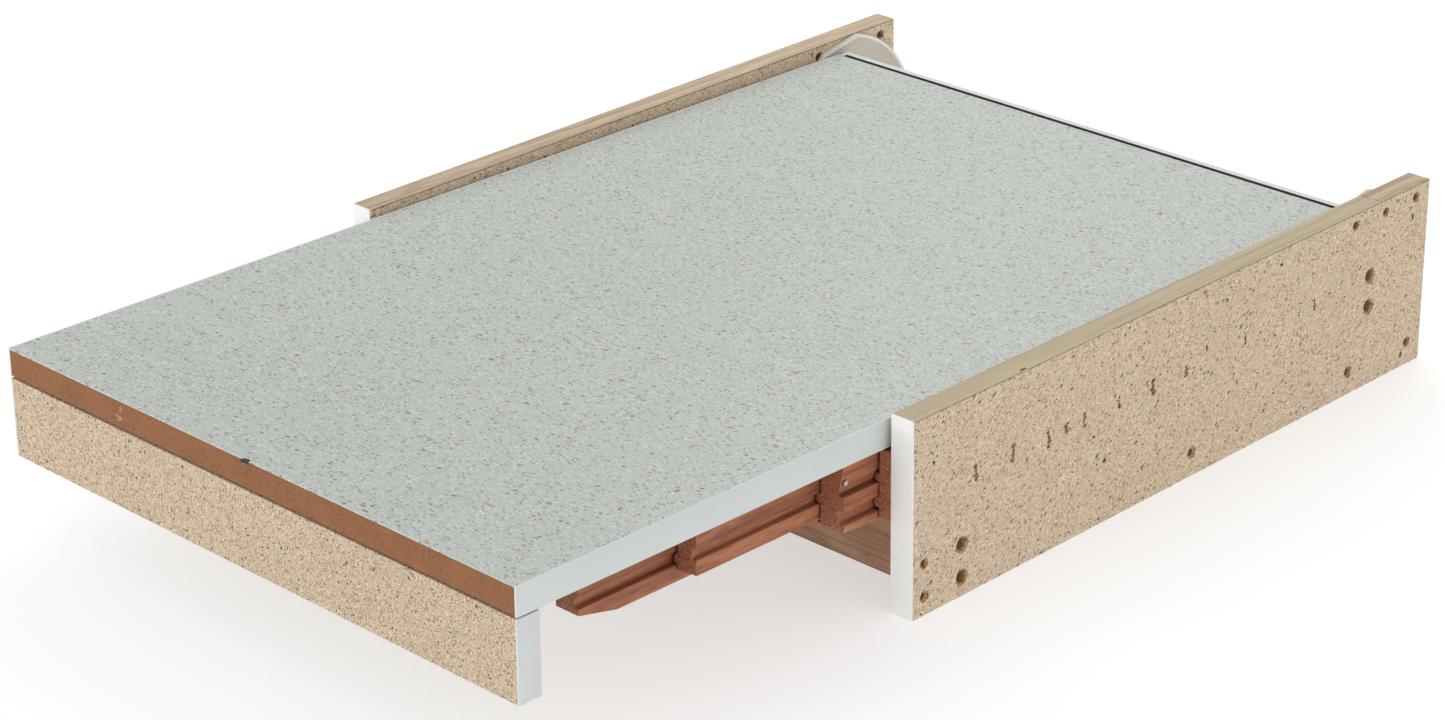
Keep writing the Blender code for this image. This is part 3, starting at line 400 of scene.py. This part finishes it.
def board_mesh(low, high, step, ease, wear, seed):
    """A box with cross cuts every `step`, eased edges, and edges worn back a little by noise."""
    bm = bmesh.new()
    bmesh.ops.create_cube(bm, size=1.0)
    size = high - low
    bmesh.ops.scale(bm, vec=size, verts=bm.verts)
    bmesh.ops.translate(bm, vec=(low + high) / 2, verts=bm.verts)
    bmesh.ops.bevel(bm, geom=bm.edges[:], offset=ease, segments=BEVEL_SEGMENTS, profile=0.6, affect="EDGES")
    for axis in range(3):
        count = int(size[axis] / step)
        normal = Vector([1.0 if i == axis else 0.0 for i in range(3)])
        for index in range(1, count):
            point = low + normal * (size[axis] * index / count)
            bmesh.ops.bisect_plane(bm, geom=bm.verts[:] + bm.edges[:] + bm.faces[:], dist=1e-7,
                                   plane_co=point, plane_no=normal)
    for vert in bm.verts:
        near = [min(vert.co[i] - low[i], high[i] - vert.co[i]) for i in range(3)]
        if sum(1 for d in near if d < ease * 1.2) < 2:
            continue
        bite = max(0.0, noise.noise(vert.co * 90 + Vector((seed, 2 * seed, 3 * seed)))) * wear
        for i in range(3):
            if near[i] < ease * 1.2:
                vert.co[i] += bite if vert.co[i] - low[i] < high[i] - vert.co[i] else -bite
    return bm


def board(name, nodes, low, high, space, step, ease, wear, seed):
    return finish_piece(board_mesh(low, high, step, ease, wear, seed), name, nodes, space)


def soften(node, width):
    """Keeps a CAD node, with its corners eased by a bevel."""
    obj = NODES[node]
    weld = obj.modifiers.new("weld", "WELD")
    weld.merge_threshold = WELD
    flat = obj.modifiers.new("planar", "DECIMATE")
    flat.decimate_type = "DISSOLVE"
    flat.angle_limit = math.radians(1.0)
    bevel = obj.modifiers.new("eased", "BEVEL")
    bevel.width = width
    bevel.segments = BEVEL_SEGMENTS
    bevel.limit_method = "ANGLE"
    bevel.angle_limit = math.radians(35)
    bevel.harden_normals = False


for node, obj in NODES.items():
    obj.data.materials.clear()
    obj.data.materials.append(MATERIALS[SLOT[node]])

for side in ("left", "right"):
    for stage in ("fixed", "outer", "middle", "inner"):
        soften(f"{stage}_rail_{side}", 0.35 * MM)
    soften(f"front_bracket_{side}", 0.4 * MM)
soften("cross_rail", 0.6 * MM)

# ---- Table ------------------------------------------------------------------------------
core_low, core_high = extent("table_core", RUN)
skin_low, skin_high = extent("table_laminate", RUN)
back_low, back_high = extent("table_backing", RUN)
front_low, front_high = extent("front_panel", RUN)
BACKING_SETBACK = 2.5 * MM
board("table_top_laminate", ["table_laminate"], skin_low, skin_high, RUN, 14 * MM, 0.12 * MM, 0.04 * MM, 3)
board("table_board_core", ["table_core"], Vector((core_low.x, core_low.y, back_high.z)),
      Vector((core_high.x, core_high.y, skin_low.z)), RUN, 14 * MM, 0.12 * MM, 0.08 * MM, 5)
back_low.y += BACKING_SETBACK
board("table_balancing_sheet", ["table_backing"], back_low, back_high, RUN, 30 * MM, 0.1 * MM, 0.05 * MM, 7)
for side, sign in SIDES:
    for part, step, seed in (("table", 16 * MM, 11), ("front", 12 * MM, 13)):
        node = f"{part}_edge_band_{side}"
        low, high = extent(node, RUN)
        if sign > 0:
            low.x = core_high.x
        else:
            high.x = -core_high.x
        board(f"{part}_side_band_{side}", [node], low, high, RUN, step, 0.25 * MM, 0.06 * MM, seed)


# ---- Cuts: pits, chips and recesses as real hollows ---------------------------------------
def lump(bm, centre, size, seed, rough=0.35, turn=0.0, level=2):
    """Adds one uneven pebble to the mesh, as a cutter for a torn hollow."""
    made = bmesh.ops.create_icosphere(bm, subdivisions=level, radius=0.5)["verts"]
    spin = Matrix.Rotation(turn, 3, "X")
    for vert in made:
        grow = 1.0 + rough * noise.noise(vert.co * 3.1 + Vector((seed, seed * 0.7, 1.3)))
        vert.co = spin @ Vector([vert.co[i] * grow * size[i] for i in range(3)]) + Vector(centre)


def carved(mesh, cutters):
    """The mesh with each (cutter mesh, material) taken away; the material shows inside the cut."""
    holder = bpy.data.objects.new("work", mesh)
    bpy.context.scene.collection.objects.link(holder)
    tools = []
    for bm, material in cutters:
        shape = bpy.data.meshes.new("cutter")
        bm.to_mesh(shape)
        bm.free()
        shape.materials.append(material)
        tool = bpy.data.objects.new("cutter", shape)
        bpy.context.scene.collection.objects.link(tool)
        tools.append(tool)
        modifier = holder.modifiers.new("cut", "BOOLEAN")
        modifier.object = tool
        modifier.material_mode = "TRANSFER"
        modifier.use_self = True
    graph = bpy.context.evaluated_depsgraph_get()
    result = bpy.data.meshes.new_from_object(holder.evaluated_get(graph))
    for obj in [holder, *tools]:
        bpy.data.objects.remove(obj, do_unlink=True)
    return result


def cad_mesh(node, ease, space=WORLD):
    """A welded copy of a CAD node's mesh with its corners eased."""
    bm = bmesh.new()
    bm.from_mesh(NODES[node].data)
    bmesh.ops.remove_doubles(bm, verts=bm.verts, dist=WELD)
    bmesh.ops.transform(bm, matrix=space.inverted(), verts=bm.verts)
    bmesh.ops.dissolve_limit(bm, angle_limit=math.radians(0.5), verts=bm.verts, edges=bm.edges)
    sharp = [e for e in bm.edges if len(e.link_faces) == 2 and e.calc_face_angle(0) > math.radians(35)]
    bmesh.ops.bevel(bm, geom=sharp, offset=ease, segments=BEVEL_SEGMENTS, profile=0.6, affect="EDGES",
                    clamp_overlap=True)
    mesh = bpy.data.meshes.new(node + "_work")
    bm.to_mesh(mesh)
    bm.free()
    return mesh


def set_piece(mesh, name, nodes, space=WORLD, smooth=0):
    """Gives a finished mesh its object, in place of the CAD nodes."""
    mesh.name = name
    mesh.transform(space)
    obj = bpy.data.objects.new(name, mesh)
    bpy.context.scene.collection.objects.link(obj)
    if not mesh.materials:
        mesh.materials.append(MATERIALS[SLOT[nodes[0]]])
    if smooth:
        mesh.shade_smooth()
        mesh.set_sharp_from_angle(angle=math.radians(smooth))
    else:
        mesh.shade_flat()
    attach(obj, BODY[nodes[0]])
    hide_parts(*nodes)
    return obj


# ---- Side panels ----------------------------------------------------------------------------
# A row of burst chips crosses the right panel's face at the drilled rows' pitch.
BURST_PITCH = 32 * MM
BURST_FIRST = 54 * MM          # behind the panel's banded front edge
BURST_STEPS = (0, 1, 2, 2.5, 3, 4, 5, 6, 7.8, 10)
BURST_HEIGHT = 74 * MM
BARK_SPECKS = 10
PITS = 70                      # in each face of a side panel, and in the front panel's face
HOLE_REACH = 9 * MM            # further than any hole's diameter, nearer than the next hole


def drilled_holes(panel, outer):
    """Place along Y, height and radius of each round hole in a panel's outer face, from its CAD mesh."""
    low, high = extent(panel)
    rims = []
    for vertex in NODES[panel].data.vertices:
        place = vertex.co.copy()
        inside = all(low[i] + MM < place[i] < high[i] - MM for i in (1, 2))
        if inside and abs(place.x - outer) < 0.01 * MM:
            rim = next((points for points in rims if (points[0] - place).length < HOLE_REACH), None)
            if rim is None:
                rims.append([place])
            else:
                rim.append(place)
    middles = [sum(rim, Vector()) / len(rim) for rim in rims]
    return [(middle.y, middle.z, (rim[0] - middle).length) for middle, rim in zip(middles, rims)]


def panel_cutters(panel, low, high, front, sign):
    """Pits over the faces, frayed hole rims, chipped edges and, on the marked panel, the burst chips."""
    draw = random.Random(41 + sign)
    torn, bark = bmesh.new(), bmesh.new()
    outer, inner = (high.x, low.x) if sign > 0 else (low.x, high.x)
    taken = []

    def free(y, z, reach):
        if any((y - a) ** 2 + (z - b) ** 2 < (reach + c) ** 2 for a, b, c in taken):
            return False
        taken.append((y, z, reach))
        return True

    if sign > 0:
        sizes = random.Random(5)
        for index, step in enumerate(BURST_STEPS):
            base = front + BURST_FIRST + step * BURST_PITCH
            height = BURST_HEIGHT + sizes.uniform(-1.5, 1.5) * MM
            wide, tall = sizes.uniform(1.4, 2.8) * MM, sizes.uniform(6.5, 12.5) * MM
            free(base, height, tall * 0.6)
            for part in range(4):
                shift = (part - 1.5) / 4
                lump(torn, (outer, base + draw.uniform(-0.25, 0.25) * wide, height + shift * tall),
                     (draw.uniform(2.4, 3.6) * MM, wide * draw.uniform(1.0, 1.9), tall * 0.28),
                     index * 7.3 + part, 0.7, draw.uniform(-0.35, 0.35))
        for index in range(BARK_SPECKS):
            y = sizes.uniform(low.y + 8 * MM, high.y - 8 * MM)
            z = sizes.uniform(low.z + 6 * MM, high.z - 6 * MM)
            wide, tall = sizes.uniform(1.3, 3.4) * MM, sizes.uniform(1.5, 4.5) * MM
            if free(y, z, max(wide, tall) * 0.6):
                lump(bark, (outer, y, z), (0.7 * MM, wide, tall), index * 3.1, 0.6, draw.uniform(-0.5, 0.5))
    for index, (hole_y, hole_z, radius) in enumerate(drilled_holes(panel, outer)):
        start = draw.uniform(0, 2)
        taken.append((hole_y, hole_z, radius + 1.4 * MM))
        for face in (outer, inner):
            if face == inner and radius > 3 * MM:
                continue
            mouth = 2 * (radius * 1.28 + 0.5 * MM)
            lump(torn, (face, hole_y, hole_z), (draw.uniform(2.0, 3.0) * MM, mouth, mouth * 1.06),
                 index * 11.3, 0.22)
            for part in range(3):
                angle = start + part * math.tau / 3 + draw.uniform(-0.5, 0.5)
                y = hole_y + (radius + 0.3 * MM) * math.cos(angle)
                z = hole_z + (radius + 0.3 * MM) * math.sin(angle)
                size = draw.uniform(0.25, 0.45) * (radius + MM)
                lump(torn, (face, y, z), (size, size * 1.4, size), angle * 9 + index * 32, 0.6, angle, 1)
    for face in (outer, inner):
        for index in range(PITS):
            y = draw.uniform(low.y + 4 * MM, high.y - 4 * MM)
            z = draw.uniform(low.z + 4 * MM, high.z - 4 * MM)
            size = draw.uniform(0.5, 1.3) * MM
            tool = bark if draw.random() < 0.45 else torn
            if free(y, z, size):
                lump(tool, (face, y, z), (size * 0.5, size * draw.uniform(0.7, 1.6), size),
                     index * 1.7 + face, 0.6, draw.uniform(0, 3), 1)
        for edge in (low.z, high.z):
            y = low.y + 3 * MM
            while y < high.y - 3 * MM:
                size = draw.uniform(0.35, 1.0) * MM
                lump(torn, (face, y, edge), (size, size * draw.uniform(1.0, 2.4), size * 0.9),
                     y * 311, 0.6, 0, 1)
                y += draw.uniform(7, 26) * MM
        z = low.z + 5 * MM
        while z < high.z - 5 * MM:
            size = draw.uniform(0.35, 1.0) * MM
            lump(torn, (face, high.y, z), (size, size, size * 1.6), z * 517, 0.6, 0, 1)
            z += draw.uniform(6, 18) * MM
    return [(torn, TORN_AND_SHADED), (bark, BARK)]


def shade_torn_hole_walls(mesh, low, high):
    """The walls of drilled holes show torn chips, darkened as painted shade, rather than the pressed face."""
    slot = mesh.materials.find(TORN_AND_SHADED.name)
    for face in mesh.polygons:
        inside = all(low[i] + 1.2 * MM < face.center[i] < high[i] - 1.2 * MM for i in (1, 2))
        if inside and abs(face.normal.x) < 0.6:
            face.material_index = slot


for side, sign in SIDES:
    low, high = extent(f"side_panel_{side}")
    mesh = cad_mesh(f"side_panel_{side}", 0.25 * MM)
    mesh.materials.append(MATERIALS["particleboard"])
    band_low, band_high = extent(f"side_edge_band_{side}")
    mesh = carved(mesh, panel_cutters(f"side_panel_{side}", low, high, band_low.y, sign))
    shade_torn_hole_walls(mesh, low, high)
    set_piece(mesh, f"side_board_{side}", [f"side_panel_{side}"])
    band_high.y = low.y
    band = board(f"side_front_band_{side}", [f"side_edge_band_{side}"], band_low, band_high, WORLD,
                 14 * MM, 0.22 * MM, 0.06 * MM, 17)
    # Painted light: the front-facing band takes the whiter copy of the edge band.
    band.data.materials[0] = PAINTED_LIGHT_BAND

for strip in ("left", "right_front", "right_rear"):
    low, high = extent(f"top_edging_{strip}")
    board(f"edging_strip_{strip}", [f"top_edging_{strip}"], low, high, WORLD, 9 * MM, 0.2 * MM, 0.12 * MM, 23)

# The right front strip is a smoother veneer, with a dark knot at its outer edge.
KNOT_INSET = 1.2 * MM
KNOT_BEHIND_FRONT = 95 * MM
strip_corner = extent("top_edging_right_front")[1]
knot = bmesh.new()
knot_y = extent("side_edge_band_right")[0].y + KNOT_BEHIND_FRONT
lump(knot, (strip_corner.x - KNOT_INSET, knot_y, strip_corner.z), (2.2 * MM, 5.5 * MM, 0.9 * MM), 3, 0.7)
knotted = bpy.data.objects["edging_strip_right_front"]
knotted.data.materials[0] = timber("smooth_edging_veneer", (0.53, 0.435, 0.28), (0.51, 0.415, 0.262),
                                   (0.47, 0.375, 0.235), rings=20, pores=0.15)
knotted.data = carved(knotted.data.copy(), [(knot, BARK)])
knotted.data.shade_flat()

# ---- Front panel ------------------------------------------------------------------------------
mesh = cad_mesh("front_panel", 0.25 * MM, space=RUN)
mesh.materials.append(FRONT)
torn, bark = bmesh.new(), bmesh.new()
draw = random.Random(5)
for index in range(PITS):
    size = draw.uniform(0.5, 1.2) * MM
    x = draw.uniform(front_low.x + 3 * MM, front_high.x - 3 * MM)
    z = draw.uniform(front_low.z + 3 * MM, front_high.z - 3 * MM)
    lump(bark if index % 2 else torn, (x, front_low.y, z),
         (size * draw.uniform(0.7, 1.7), size * 0.5, size), index * 2.3, 0.6, draw.uniform(0, 3), 1)
for edge in (front_low.z, front_high.z):
    x = front_low.x + 3 * MM
    while x < front_high.x - 3 * MM:
        size = draw.uniform(0.35, 0.95) * MM
        lump(torn, (x, front_low.y, edge), (size * draw.uniform(1.0, 2.2), size, size * 0.9),
             x * 411, 0.6, 0, 1)
        x += draw.uniform(7, 24) * MM
mesh = carved(mesh, [(torn, TORN_AND_SHADED), (bark, BARK)])
set_piece(mesh, "front_board", ["front_panel"], RUN)

# A knock in the board's front top edge, through the laminate into the core, and a pale scuff left of it.
KNOCK_PLACES = (1.4 * MM, -1.6 * MM)       # along X
SCUFF_PLACES = (-113 * MM, -111 * MM)
for name in ("table_top_laminate", "table_board_core"):
    knock = bmesh.new()
    lump(knock, (KNOCK_PLACES[0], core_low.y, skin_high.z - 0.6 * MM), (6 * MM, 3 * MM, 3.4 * MM), 4, 0.7)
    lump(knock, (KNOCK_PLACES[1], core_low.y, skin_high.z - 1.6 * MM), (4 * MM, 1.8 * MM, 2.4 * MM), 9, 0.7)
    bmesh.ops.transform(knock, matrix=RUN, verts=knock.verts)
    cutters = [(knock, BARK)]
    if name == "table_board_core":
        scuff = bmesh.new()
        lump(scuff, (SCUFF_PLACES[0], core_low.y, -11.5 * MM), (6 * MM, 0.5 * MM, 3.6 * MM), 6, 0.9)
        lump(scuff, (SCUFF_PLACES[1], core_low.y, -5.5 * MM), (2.6 * MM, 0.4 * MM, 4.4 * MM), 8, 0.9)
        bmesh.ops.transform(scuff, matrix=RUN, verts=scuff.verts)
        cutters.append((scuff, SCUFF))
    board_object = bpy.data.objects[name]
    board_object.data = carved(board_object.data.copy(), cutters)
    board_object.data.shade_flat()

# ---- Guide plates -------------------------------------------------------------------------------
RIM_WIDTH = 2.4 * MM
DISH_DEPTH = 0.7 * MM
for side, sign in SIDES:
    node = f"guide_plate_{side}"
    bm = bmesh.new()
    bm.from_mesh(NODES[node].data)
    bmesh.ops.remove_doubles(bm, verts=bm.verts, dist=WELD)
    bmesh.ops.dissolve_limit(bm, angle_limit=math.radians(0.5), verts=bm.verts, edges=bm.edges)
    inward = [f for f in bm.faces if -sign * f.normal.x > 0.9]
    plane = max(inward, key=lambda f: f.calc_area()).calc_center_median().x
    flat_faces = [f for f in inward if abs(f.calc_center_median().x - plane) < 0.01 * MM]
    rim = bmesh.ops.inset_region(bm, faces=flat_faces, thickness=RIM_WIDTH, depth=0.0,
                                 use_even_offset=True)["faces"]
    bmesh.ops.inset_region(bm, faces=flat_faces, thickness=0.6 * MM, depth=-DISH_DEPTH, use_even_offset=True)
    # Painted highlight: the rim lip takes the whiter rim finish.
    for face in rim:
        face.material_index = 1
    sharp = [e for e in bm.edges if len(e.link_faces) == 2 and e.calc_face_angle(0) > math.radians(50)]
    bmesh.ops.bevel(bm, geom=sharp, offset=0.5 * MM, segments=3, profile=0.5, affect="EDGES",
                    clamp_overlap=True)
    disc = finish_piece(bm, f"guide_disc_{side}", [node], smooth=50)
    disc.data.materials.append(PLATE_RIM_HIGHLIGHT)

# ---- Rear trim ------------------------------------------------------------------------------------
GROOVE_WIDTH = 0.5 * MM
GROOVE_INSET = 2.1 * MM         # its middle, from the strip's rear face
low, high = extent("rear_seal", RUN)
low.y = core_high.y
board("rear_seal_strip", ["rear_seal"], low, high, RUN, 20 * MM, 0.5 * MM, 0.08 * MM, 29)
trim_high = extent("rear_strip", RUN)[1]
groove = bmesh.new()
bmesh.ops.create_cube(groove, size=1.0)
bmesh.ops.scale(groove, vec=(trim_high.x * 2 + 10 * MM, GROOVE_WIDTH, 0.8 * MM), verts=groove.verts)
bmesh.ops.translate(groove, vec=(0, trim_high.y - GROOVE_INSET, trim_high.z), verts=groove.verts)
mesh = cad_mesh("rear_strip", 0.25 * MM, space=RUN)
mesh.materials.append(MATERIALS["white_trim"])
set_piece(carved(mesh, [(groove, MATERIALS["white_trim"])]), "rear_trim_strip", ["rear_strip"], RUN)


# ---- Screws -----------------------------------------------------------------------------------------
def screw_shape(head, shank, length, rim):
    """A countersunk wood screw with a cross recess, its head's top at the origin, pointing down."""
    sides = 28
    cone = head - shank
    profile = [(0.0, 0.0), (head - 0.15 * MM, 0.0), (head, -0.15 * MM), (head, -rim),
               (shank * 1.12, -rim - cone), (shank * 0.9, -rim - cone - MM)]
    depth = -rim - cone - 2 * MM
    while depth > -length + 4.2 * MM:
        profile += [(shank, depth), (shank * 0.86, depth - 0.45 * MM)]
        depth -= 1.6 * MM
    profile += [(shank * 0.8, -length + 3 * MM), (0.0, -length)]
    mesh = bpy.data.meshes.new("screw_shape")
    bm = bmesh.new()
    rings = []
    for radius, z in profile:
        if radius < 1e-6:
            rings.append([bm.verts.new((0, 0, z))])
        else:
            rings.append([bm.verts.new((radius * math.cos(math.tau * k / sides),
                                        radius * math.sin(math.tau * k / sides), z)) for k in range(sides)])
    for upper, lower in zip(rings, rings[1:]):
        for k in range(sides):
            nxt = (k + 1) % sides
            above = [upper[k % len(upper)], upper[nxt % len(upper)]]
            below = [lower[nxt % len(lower)], lower[k % len(lower)]]
            bm.faces.new(list(dict.fromkeys(above + below)))
    bmesh.ops.recalc_face_normals(bm, faces=bm.faces)
    bm.to_mesh(mesh)
    bm.free()
    mesh.materials.append(MATERIALS["zinc_steel"])
    cross = bmesh.new()
    for turn in (0, math.pi / 2):
        made = bmesh.ops.create_cube(cross, size=1.0)["verts"]
        for vert in made:
            taper = 1.0 if vert.co.z > 0 else 0.45
            corner = Vector((vert.co.x * head * 1.15 * taper, vert.co.y * head * 0.26, vert.co.z * 3.2 * MM))
            vert.co = Matrix.Rotation(turn, 3, "Z") @ corner
    return carved(mesh, [(cross, MATERIALS["zinc_steel"])])


# Per kind of screw: shank diameter and the way its head looks, X counted outwards from the middle.
DRIVEN = {
    "cross_rail": (4.5 * MM, (1, 0, 0)),
    "guide_plate": (4.5 * MM, (1, 0, 0)),
    "fixed_rail": (3.5 * MM, (-1, 0, 0)),
    "inner_rail": (4.0 * MM, (0, 0, -1)),
    "bracket": (3.5 * MM, (0, 0, -1)),
}
HEAD_RIM = 0.5 * MM
SHAPES = {}
for node in sorted(n for n in NODES if "_screw_" in n):
    kind = node.split("_screw_")[0]
    shank, away = DRIVEN[kind]
    away = Vector(away)
    if away.x:
        away.x *= -1 if "_left" in node else 1
    elif node.endswith("front"):
        away = Vector((0, 1, 0))
    low, high = extent(node, RUN)
    axis = max(range(3), key=lambda i: abs(away[i]))
    seat = (low + high) / 2
    seat[axis] = high[axis] if away[axis] > 0 else low[axis]
    length = high[axis] - low[axis]
    head = min(high[i] - low[i] for i in range(3) if i != axis) / 2
    if kind not in SHAPES:
        SHAPES[kind] = screw_shape(head, shank / 2, length, HEAD_RIM)
    turn = Vector((0, 0, 1)).rotation_difference(away).to_matrix().to_4x4()
    spin = Matrix.Rotation(random.Random(node).uniform(0, 1.5), 4, "Z")
    place = RUN @ Matrix.Translation(seat) @ turn @ spin
    set_piece(SHAPES[kind].copy(), node + "_driven", [node], place, 40)

# ---- Camera -------------------------------------------------------------------------------
AZIMUTH, ELEVATION, ROLL = math.radians(44.803), math.radians(24.442), math.radians(-0.86)
LENS = 93.03                    # millimetres, on a sensor 36 mm wide
CAMERA_RIGHT, CAMERA_BEFORE, CAMERA_UP = 1.4700, 1.3893, 1.0070   # BEFORE counts from the sides' front edges
SIDE_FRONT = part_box("side_edge_band_right")[0].y
camera_data = bpy.data.cameras.new("camera")
camera = bpy.data.objects.new("camera", camera_data)
bpy.context.scene.collection.objects.link(camera)
bpy.context.scene.camera = camera
camera_data.sensor_width = 36.0
camera_data.lens = LENS
camera_data.clip_end = 50.0
back = Vector((math.sin(AZIMUTH) * math.cos(ELEVATION), -math.cos(AZIMUTH) * math.cos(ELEVATION),
               math.sin(ELEVATION)))
right = (-back).cross(Vector((0, 0, 1))).normalized()
down = (-back).cross(right)
turned_right = right * math.cos(ROLL) - down * math.sin(ROLL)
turned_down = right * math.sin(ROLL) + down * math.cos(ROLL)
pose = Matrix((turned_right, -turned_down, back)).transposed().to_4x4()
pose.translation = Vector((CAMERA_RIGHT, SIDE_FRONT - CAMERA_BEFORE, CAMERA_UP))
camera.matrix_world = pose

# ---- Floor and light ------------------------------------------------------------------------
floor_mesh = bpy.data.meshes.new("floor")
REACH = 14.0
FLOOR_GLOW = 0.52              # light of the floor's own, for the near-white background
WORLD_LIGHT = 0.75
WHITE = (1.0, 1.0, 1.0, 1.0)
floor_mesh.from_pydata([(-REACH, -REACH, 0), (REACH, -REACH, 0), (REACH, REACH, 0), (-REACH, REACH, 0)], [],
                       [(0, 1, 2, 3)])
floor = bpy.data.objects.new("floor", floor_mesh)
bpy.context.scene.collection.objects.link(floor)
pale = Graph("pale_floor", roughness=0.9)
pale.colour(pale.ramp(pale.noise(pale.place, 2.0, 2.0), (0.3, (0.53, 0.53, 0.53)),
                      (0.7, (0.57, 0.57, 0.57))))
pale.shader.inputs["Emission Color"].default_value = WHITE
pale.shader.inputs["Emission Strength"].default_value = FLOOR_GLOW
floor_mesh.materials.append(pale.material)

world = bpy.data.worlds.new("studio")
bpy.context.scene.world = world
world.use_nodes = True
world.node_tree.nodes["Background"].inputs["Color"].default_value = WHITE
world.node_tree.nodes["Background"].inputs["Strength"].default_value = WORLD_LIGHT


def lamp(name, place, target, size, power):
    data = bpy.data.lights.new(name, "AREA")
    data.shape = "RECTANGLE"
    data.size, data.size_y = size
    data.energy = power
    obj = bpy.data.objects.new(name, data)
    bpy.context.scene.collection.objects.link(obj)
    obj.location = place
    obj.rotation_euler = (Vector(target) - Vector(place)).to_track_quat("-Z", "Y").to_euler()


lamp("rear_top", (-0.5, 1.3, 1.5), (0, 0.1, 0), (1.2, 1.0), 9)
lamp("front_left", (-1.4, -1.5, 0.6), (0, -0.2, 0.05), (0.9, 0.6), 8)
lamp("front_right", (0.7, -2.6, 0.5), (0.1, 0, 0.05), (1.6, 0.8), 9)

bpy.context.scene.view_settings.view_transform = "Standard"
